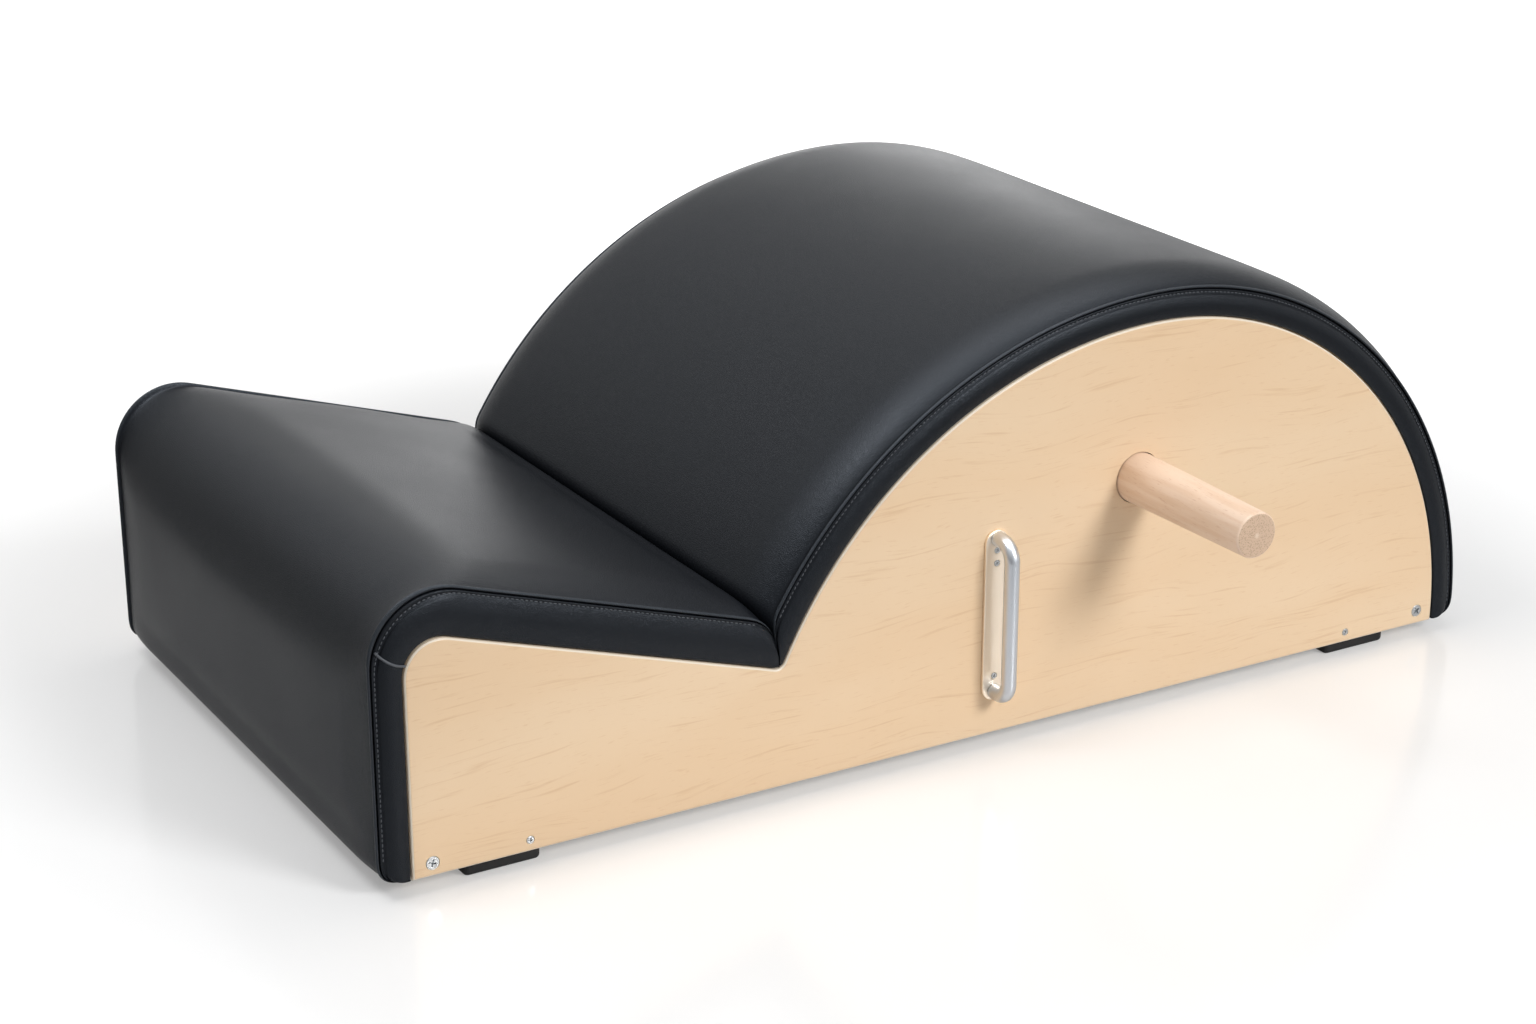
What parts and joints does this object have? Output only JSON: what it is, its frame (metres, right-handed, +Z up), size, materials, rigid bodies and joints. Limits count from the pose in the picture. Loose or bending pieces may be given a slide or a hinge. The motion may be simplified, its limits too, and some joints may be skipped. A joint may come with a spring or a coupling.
{
  "type": "spine corrector",
  "caption": "Low wooden spine corrector with a padded half-round barrel, a sloping padded seat, pull-out wooden grip pegs and metal carry handles.",
  "frame": {"origin": "under the middle of the whole object, on the plane that the feet's soles stand on", "axes": "+X along the length from the seat end to the barrel end, +Y to the left side, +Z up; the side with the peg in the picture is the right side, -Y"},
  "size_m": [0.9019, 0.722, 0.323],
  "materials": {
    "panel_plywood": "satin",
    "frame_plywood": "matte",
    "pine_rail": "matte",
    "peg_beech": "satin",
    "black_leatherette": "satin",
    "pad_foam": "matte",
    "satin_bar": "satin",
    "nickel_plate": "satin",
    "foot_rubber": "matte"
  },
  "bodies": {
    "frame": {"barrel_cover": "black_leatherette", "barrel_foam": "pad_foam", "barrel_skin": "frame_plywood", "centre_rib": "frame_plywood", "crown_stringer": "pine_rail", "end_side_stringer": "pine_rail", "front_base_board": "frame_plywood", "front_left_foot": "foot_rubber", "front_left_foot_screw": "nickel_plate", "front_right_foot": "foot_rubber", "front_right_foot_screw": "nickel_plate", "left_front_panel_pin": "nickel_plate", "left_front_panel_screw": "nickel_plate", "left_handle_bar": "satin_bar", "left_handle_plate": "nickel_plate", "left_handle_screw_high": "nickel_plate", "left_handle_screw_low": "nickel_plate", "left_handle_screw_middle": "nickel_plate", "left_rear_panel_pin": "nickel_plate", "left_rear_panel_screw": "nickel_plate", "left_side_panel": "panel_plywood", "left_socket_block": "pine_rail", "rear_base_board": "frame_plywood", "rear_left_foot": "foot_rubber", "rear_left_foot_screw": "nickel_plate", "rear_right_foot": "foot_rubber", "rear_right_foot_screw": "nickel_plate", "right_front_panel_pin": "nickel_plate", "right_front_panel_screw": "nickel_plate", "right_handle_bar": "satin_bar", "right_handle_plate": "nickel_plate", "right_handle_screw_high": "nickel_plate", "right_handle_screw_low": "nickel_plate", "right_handle_screw_middle": "nickel_plate", "right_rear_panel_pin": "nickel_plate", "right_rear_panel_screw": "nickel_plate", "right_side_panel": "panel_plywood", "right_socket_block": "pine_rail", "seat_cover": "black_leatherette", "seat_end_board": "frame_plywood", "seat_foam": "pad_foam", "seat_side_stringer": "pine_rail", "seat_skin": "frame_plywood", "valley_rail": "pine_rail"},
    "right_peg": {"right_grip_peg": "peg_beech"},
    "left_peg": {"left_grip_peg": "peg_beech"}
  },
  "joints": [
    {"name": "right_peg_pull", "type": "slide", "parent": "frame", "child": "right_peg", "axis": [0, -1, 0], "range_m": [0, 0.09]},
    {"name": "left_peg_pull", "type": "slide", "parent": "frame", "child": "left_peg", "axis": [0, 1, 0], "range_m": [0, 0.09]}
  ]
}
